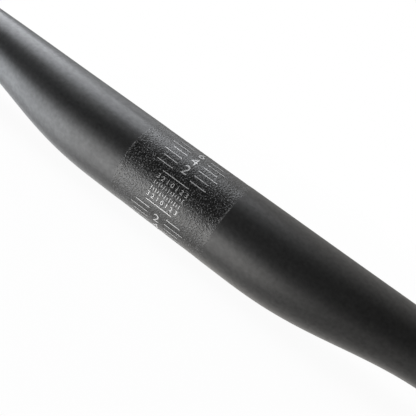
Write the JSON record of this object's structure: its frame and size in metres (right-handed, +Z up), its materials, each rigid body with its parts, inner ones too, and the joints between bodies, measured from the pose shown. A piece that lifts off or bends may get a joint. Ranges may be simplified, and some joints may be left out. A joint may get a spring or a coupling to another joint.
{
  "type": "flat handlebar",
  "caption": "Flat bicycle handlebar: a butted tube with a fat stem clamp zone, tapered shoulders, a slight rise and swept-back straight grips with open ends.",
  "frame": {"origin": "centre of the stem clamp cylinder, on its axis", "axes": "+X along the stem clamp's axis to the rider's left, -Y forwards, +Z up, with the bar lying as it comes to rest: on the underside of the clamp cylinder and on both tips"},
  "size_m": [0.7098, 0.0702, 0.0318],
  "materials": {
    "tube": "satin black, bead-blasted and anodised, with a coarser blasted band at the clamp"
  },
  "bodies": {
    "root": {"handlebar": "tube"}
  },
  "joints": []
}
